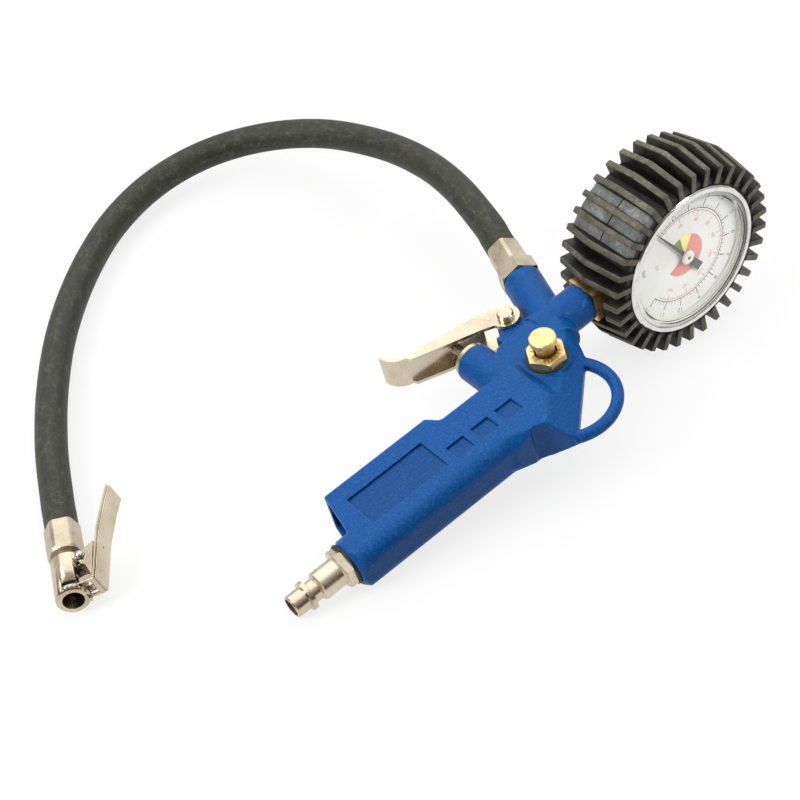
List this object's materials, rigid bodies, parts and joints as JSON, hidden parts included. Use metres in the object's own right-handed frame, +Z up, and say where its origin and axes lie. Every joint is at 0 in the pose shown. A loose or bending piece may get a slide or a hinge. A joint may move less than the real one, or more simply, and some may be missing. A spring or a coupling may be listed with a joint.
{
  "type": "portable tire inflator",
  "caption": "Hand-held air-line tyre inflator gun with trigger lever, bleed button, dial gauge in a ribbed rubber boot, rubber hose and clip-on chuck.",
  "frame": {"origin": "bottom centre of the gun's bounding box, on the table that the gun lies on; the hose and the chuck are left out of that box", "axes": "+X from the inlet plug towards the gauge along the lying gun, +Y from the dial's face towards the trigger lever and the hose, +Z up from the table"},
  "size_m": [0.3155, 0.2795, 0.086],
  "materials": {
    "blue_metal": "satin",
    "nickel": "polished",
    "brass": "machined",
    "steel": "brushed",
    "boot_rubber": "matt",
    "hose_rubber": "matt",
    "black_rubber": "matt",
    "black_metal": "satin",
    "white_metal": "satin",
    "clear": "clear"
  },
  "bodies": {
    "gun": {"body": "blue_metal", "inlet_plug": "nickel", "plug_washer": "black_rubber", "lever_pin": "nickel", "pin_clip": "steel", "valve_gland": "nickel", "gland_ring": "black_rubber", "stem_ring": "black_rubber", "valve_spring": "steel", "bleed_nut": "brass", "bleed_spring": "steel", "gauge_socket": "brass", "gauge_case": "black_metal", "gauge_bezel": "nickel", "gauge_lens": "clear", "dial_plate": "white_metal", "movement_plates": "brass", "bourdon_tube": "brass", "gauge_boot": "boot_rubber", "gun_ferrule": "nickel", "hose": "hose_rubber", "chuck_ferrule": "nickel", "chuck_body": "nickel", "chuck_seal": "black_rubber", "valve_depressor": "brass", "chuck_pin": "steel", "chuck_spring": "steel"},
    "trigger": {"trigger_lever": "nickel"},
    "valve": {"valve_stem": "steel", "valve_poppet": "brass", "poppet_seal": "black_rubber"},
    "bleed": {"bleed_knob": "brass", "bleed_seal": "black_rubber"},
    "needle": {"pointer": "black_metal", "pointer_hub": "white_metal", "pinion_shaft": "brass"},
    "sector": {"sector_gear": "brass"},
    "link": {"tube_link": "brass"},
    "thumb": {"thumb_lever": "nickel"}
  },
  "joints": [
    {"name": "trigger_squeeze", "type": "hinge", "parent": "gun", "child": "trigger", "pos_m": [0.01338, 0.01494, 0.03017], "axis": [-0.1802, 0, 0.9836], "range_deg": [0, 10], "stiffness_Nm_per_rad": 0.05, "springref_deg": -1.15},
    {"name": "valve_push", "type": "slide", "parent": "gun", "child": "valve", "axis": [0, -1, 0], "range_m": [0, 0.00366], "stiffness_N_per_m": 50, "springref_m": -0.001, "deforming": ["valve_spring"]},
    {"name": "bleed_push", "type": "slide", "parent": "gun", "child": "bleed", "axis": [0.1802, 0, -0.9836], "range_m": [0, 0.002], "stiffness_N_per_m": 400, "springref_m": -0.0005, "deforming": ["bleed_spring"]},
    {"name": "pointer_turn", "type": "hinge", "parent": "gun", "child": "needle", "pos_m": [0.08342, -0.01066, 0.043], "axis": [0, 1, 0], "range_deg": [0, 270], "stiffness_Nm_per_rad": 0.0002, "springref_deg": -2.86},
    {"name": "sector_turn", "type": "hinge", "parent": "gun", "child": "sector", "pos_m": [0.06217, -0.00266, 0.03911], "axis": [0, 1, 0], "range_deg": [-38.8, 0.2]},
    {"name": "link_turn", "type": "hinge", "parent": "sector", "child": "link", "pos_m": [0.06325, -0.00066, 0.03321], "axis": [0, 1, 0], "range_deg": [-0.2, 43.6], "deforming": ["bourdon_tube"]},
    {"name": "thumb_press", "type": "hinge", "parent": "gun", "child": "thumb", "pos_m": [-0.17097, 0.03818, 0.00988], "axis": [-0.339, 0.1595, 0.9272], "range_deg": [0, 18], "stiffness_Nm_per_rad": 0.05, "springref_deg": -5.73, "deforming": ["chuck_spring"]}
  ],
  "couplings": [
    {"joint": "valve_push", "follows": "trigger_squeeze", "m_per_rad": 0.02097},
    {"joint": "sector_turn", "follows": "pointer_turn", "ratio": -0.14286},
    {"joint": "link_turn", "follows": "pointer_turn", "ratio": 0.16}
  ]
}
